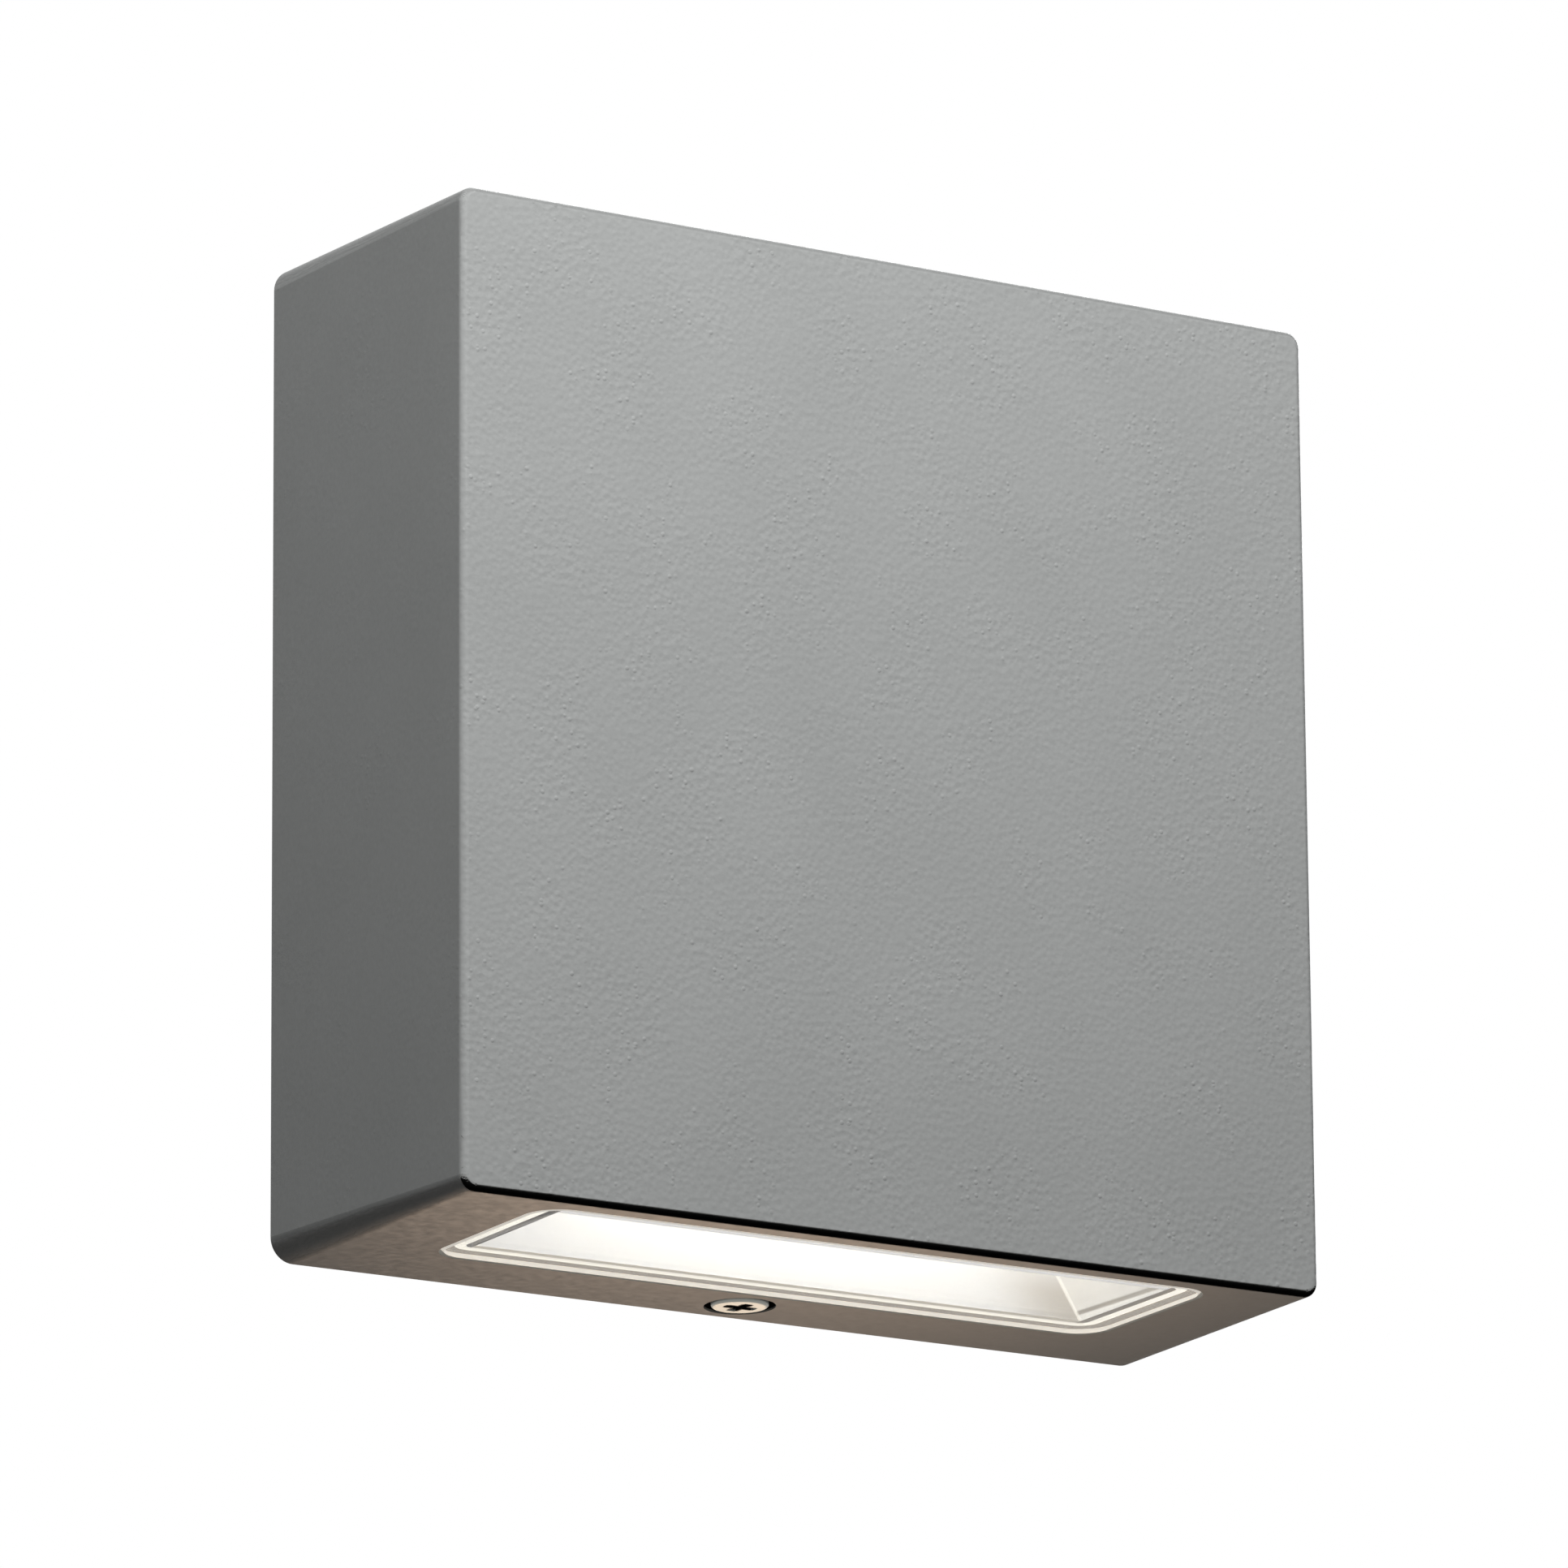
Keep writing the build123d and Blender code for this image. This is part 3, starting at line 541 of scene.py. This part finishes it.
def white_board():
    """White solder mask over copper that shows as a faint relief."""
    dark = (0.80, 0.81, 0.80)
    light = (0.87, 0.88, 0.87)
    track_stretch = (0.5, 1.0, 1.0)
    track_limits = (0.2, 0.5)
    finish = Finish("white_board", roughness=0.35)
    off_middle, _ = finish.pebbles(scale=160.0, place=finish.stretched(track_stretch))
    tracks = finish.span(off_middle, track_limits)
    finish.set("Base Color", finish.between(tracks, dark, light))
    finish.bump(tracks, strength=0.3, distance=0.0001)
    return finish.material


def led_phosphor():
    """Yellow phosphor of the LED chips, lit."""
    dark = (0.90, 0.70, 0.18)
    light = (0.96, 0.82, 0.35)
    warm_glow = (1.0, 0.97, 0.92)
    cool_glow = (1.0, 0.99, 0.97)
    level = 13.5
    finish = Finish("led_phosphor", roughness=0.4)
    grain = finish.noise(scale=2500.0)
    finish.set("Base Color", finish.between(grain, dark, light))
    finish.set("Emission Color", finish.between(grain, warm_glow, cool_glow))
    finish.set("Emission Strength", level)
    return finish.material


def moulded(name, dark, light, roughness, scale):
    """Moulded plastic or rubber with a fine spark-eroded grain."""
    swing = 0.1
    finish = Finish(name, specular=0.45)
    grain = finish.noise(scale, detail=3.0)
    finish.set("Base Color", finish.between(grain, dark, light))
    finish.roughen(grain, roughness - swing, roughness + swing)
    finish.bump(grain, strength=0.35, distance=0.0001)
    return finish.material


def plated(name, dark, light, roughness):
    """Plated metal, cloudy, with fine handling marks."""
    smoother = 0.08
    rougher = 0.14
    finish = Finish(name, metallic=1.0)
    marks = finish.noise(scale=700.0, detail=4.0, rough=0.6)
    finish.set("Base Color", finish.between(finish.noise(scale=140.0), dark, light))
    finish.roughen(marks, roughness - smoother, roughness + rougher)
    finish.bump(marks, strength=0.12, distance=0.0001)
    return finish.material


def nickel_screw():
    """Dull nickel plate; the cross recess and a wider cross around it are painted black as shade."""
    plate_dark = (0.47, 0.49, 0.47)
    plate_light = (0.58, 0.60, 0.575)
    recess_shade_colour = (0.012, 0.011, 0.010)
    finish = Finish("nickel_screw", metallic=1.0)
    low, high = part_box("retaining_screw")
    marks = finish.noise(scale=1800.0, detail=3.0)
    across_x = finish.minus(finish.part("X"), (low.x + high.x) / 2)
    across_y = finish.minus(finish.part("Y"), (low.y + high.y) / 2)
    squares = finish.plus(finish.product(across_x, across_x), finish.product(across_y, across_y))
    radius = finish.math("SQRT", squares)
    arm = finish.math("MINIMUM", finish.size(across_x), finish.size(across_y))
    # Painted black shade in the cross recess and in a wider cross around it
    cross_shade = finish.product(finish.falling(arm, arm_half), finish.falling(radius, arm_reach))
    depth = finish.span(finish.minus(finish.part("Z"), low.z), recess_depth, smooth=True)
    recess_shade = finish.larger(cross_shade, finish.product(depth, finish.falling(radius, recess_radius)))
    plate = finish.between(marks, plate_dark, plate_light)
    finish.set("Base Color", finish.between(recess_shade, plate, recess_shade_colour))
    finish.roughen(marks, low=0.56, high=0.72)
    finish.bump(marks, strength=0.1, distance=0.00005)
    return finish.material


def earth_insulation():
    """Green insulation with yellow stripes."""
    green = (0.04, 0.22, 0.05)
    yellow = (0.75, 0.62, 0.05)
    stripe_scale = 140.0
    stripe_limits = (0.45, 0.55)
    finish = Finish("earth_insulation", roughness=0.45)
    wave = finish.add("ShaderNodeTexWave", wave_type="BANDS", bands_direction="Y")
    wave.inputs["Scale"].default_value = stripe_scale
    finish.link(finish.place, wave.inputs["Vector"])
    stripe = finish.span(wave.outputs["Fac"], stripe_limits)
    finish.set("Base Color", finish.between(stripe, green, yellow))
    finish.bump(finish.noise(scale=1200.0), strength=0.1, distance=0.0001)
    return finish.material


def zinc_sheet():
    """Zinc plated sheet with a fine, faint crystal pattern."""
    dark = (0.54, 0.55, 0.55)
    light = (0.60, 0.61, 0.61)
    finish = Finish("zinc_sheet", metallic=1.0)
    _, crystal = finish.pebbles(scale=700.0)
    finish.set("Base Color", finish.between(crystal, dark, light))
    finish.roughen(crystal, low=0.36, high=0.44)
    finish.bump(finish.noise(scale=900.0, detail=3.0), strength=0.1, distance=0.0001)
    return finish.material


def dress():
    """Gives every CAD node its finish."""
    finishes = {
        "powder_coat": powder_coat(),
        "foam_rubber": foam_rubber(),
        "window_glass": window_glass(),
        "silicone": silicone(),
        "white_reflector": white_reflector(),
        "white_board": white_board(),
        "led_phosphor": led_phosphor(),
        "nickel_screw": nickel_screw(),
        "earth_insulation": earth_insulation(),
        "zinc_sheet": zinc_sheet(),
    }
    for name, look in mouldings.items():
        finishes[name] = moulded(name, *look)
    for name, look in platings.items():
        finishes[name] = plated(name, *look)
    for node, name in node_finishes.items():
        slots = nodes[node].data.materials
        slots.clear()
        slots.append(finishes[name])


def tightened(place, low, high):
    """Place on the outer skin of the case, moved outwards with the corner that it lies on or beside."""
    ahead = place.y / low.y
    radius, shown = (rear + (front - rear) * ahead for rear, front in (solid_corners, shown_corners))
    centre = (high.x + place.y * side_draft - radius, high.z + place.y * end_draft - radius)
    past = (abs(place.x) - centre[0], abs(place.z) - centre[1])
    turned = [max(step, 0.0) for step in past]
    reach = math.hypot(*turned)
    depth = front_depth if place.y < low.y + front_depth else skin_depth
    if reach < radius - depth:
        return place
    moves = [
        (radius - shown) * (1.0 - step / reach) * min(1.0, max(0.0, 1.0 + beyond / corner_run))
        for step, beyond in zip(turned, past)
    ]
    return place + Vector((math.copysign(moves[0], place.x), 0.0, math.copysign(moves[1], place.z)))


def make_case():
    """Housing with tighter corners than the solid's, in its place."""
    mesh = nodes["housing"].data.copy()
    low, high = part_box("housing")
    for vertex in mesh.vertices:
        vertex.co = tightened(vertex.co.copy(), low, high)
    case = bpy.data.objects.new("housing_case", mesh)
    bpy.context.collection.objects.link(case)
    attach(case, "light")
    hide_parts("housing")


def make_camera():
    yaw, pitch, roll = (math.radians(angle) for angle in (camera_yaw, camera_pitch, camera_roll))
    level = Vector((math.cos(yaw), -math.sin(yaw), 0.0))
    ahead = Vector((math.sin(yaw) * math.cos(pitch), math.cos(yaw) * math.cos(pitch), math.sin(pitch)))
    upright = level.cross(ahead)
    right = level * math.cos(roll) + upright * math.sin(roll)
    up = upright * math.cos(roll) - level * math.sin(roll)
    data = bpy.data.cameras.new("camera")
    data.sensor_width = sensor_width
    data.lens = sensor_width * focal_pixels / photo_side
    camera = bpy.data.objects.new("camera", data)
    turn = Matrix((right, up, -ahead)).transposed().to_4x4()
    camera.matrix_world = Matrix.Translation(camera_place) @ turn
    bpy.context.collection.objects.link(camera)
    bpy.context.scene.camera = camera


def area_light(name, place, target, width, power, colour=white, spread=180.0):
    """Soft square lamp that the camera doesn't see; place, target and width in metres, spread in degrees."""
    data = bpy.data.lights.new(name, "AREA")
    data.shape = "SQUARE"
    data.size = width
    data.spread = math.radians(spread)
    data.energy = power
    data.color = colour
    lamp = bpy.data.objects.new(name, data)
    lamp.location = place
    lamp.rotation_mode = "QUATERNION"
    lamp.rotation_quaternion = (Vector(target) - Vector(place)).to_track_quat("-Z", "Y")
    lamp.visible_camera = False
    bpy.context.collection.objects.link(lamp)


def make_lamps():
    """Key lamp above the front, fill lamp above and behind, and a narrow warm lamp on the underside."""
    middle = (0.0, -0.03, 0.0)
    area_light("key", place=(-0.175, -0.429, 0.53), target=middle, width=0.40, power=7.2)
    area_light(
        "warm",
        place=(0.247, 0.477, -0.395),
        target=(-0.060, -0.203, -0.07),
        width=0.095,
        power=0.058,
        colour=(1.0, 0.73, 0.53),
        spread=17.5,
    )
    area_light("fill", place=(0.80, 0.80, 0.70), target=middle, width=0.70, power=16.0)


def emitter(tree, kind, colour, strength):
    """Node of an even light."""
    node = tree.nodes.new(kind)
    node.inputs["Color"].default_value = (*colour, 1.0)
    node.inputs["Strength"].default_value = strength
    return node.outputs[0]


def seen_directly(tree):
    """Light Path share: 1 for camera, glossy and transmission rays, 0 for diffuse light."""
    path = tree.nodes.new("ShaderNodeLightPath")
    share = path.outputs["Is Camera Ray"]
    for name in ("Is Glossy Ray", "Is Transmission Ray"):
        larger = tree.nodes.new("ShaderNodeMath")
        larger.operation = "MAXIMUM"
        tree.links.new(share, larger.inputs[0])
        tree.links.new(path.outputs[name], larger.inputs[1])
        share = larger.outputs["Value"]
    return share


def show(tree, diffuse, direct, output):
    """Surface with one shader for diffuse light and another for what is seen directly."""
    mix = tree.nodes.new("ShaderNodeMixShader")
    tree.links.new(seen_directly(tree), mix.inputs["Fac"])
    tree.links.new(diffuse, mix.inputs[1])
    tree.links.new(direct, mix.inputs[2])
    tree.links.new(mix.outputs["Shader"], output.inputs["Surface"])


def make_world():
    """White behind the object; dim, even light on it."""
    world = bpy.data.worlds.new("studio")
    bpy.context.scene.world = world
    world.use_nodes = True
    tree = world.node_tree
    tree.nodes.clear()
    ambient = emitter(tree, "ShaderNodeBackground", white, ambient_level)
    background = emitter(tree, "ShaderNodeBackground", white, background_level)
    show(tree, ambient, background, tree.nodes.new("ShaderNodeOutputWorld"))


def make_floor():
    """Plain pale floor, far enough below the light to stay under every view."""
    mesh = bpy.data.meshes.new("floor")
    corners = [(-floor_half, -floor_half), (floor_half, -floor_half)]
    corners += [(floor_half, floor_half), (-floor_half, floor_half)]
    mesh.from_pydata([(x, y, floor_height) for x, y in corners], [], [(0, 1, 2, 3)])
    floor = bpy.data.objects.new("floor", mesh)
    bpy.context.collection.objects.link(floor)
    material = bpy.data.materials.new("floor_paint")
    material.use_nodes = True
    tree = material.node_tree
    shader = tree.nodes["Principled BSDF"]
    shader.inputs["Base Color"].default_value = (*floor_paint, 1.0)
    shader.inputs["Roughness"].default_value = floor_roughness
    glow = emitter(tree, "ShaderNodeEmission", floor_glow, floor_level)
    show(tree, shader.outputs["BSDF"], glow, tree.nodes["Material Output"])
    mesh.materials.append(material)


dress()
make_case()
make_camera()
make_world()
make_floor()
make_lamps()
bpy.context.scene.view_settings.view_transform = "Standard"
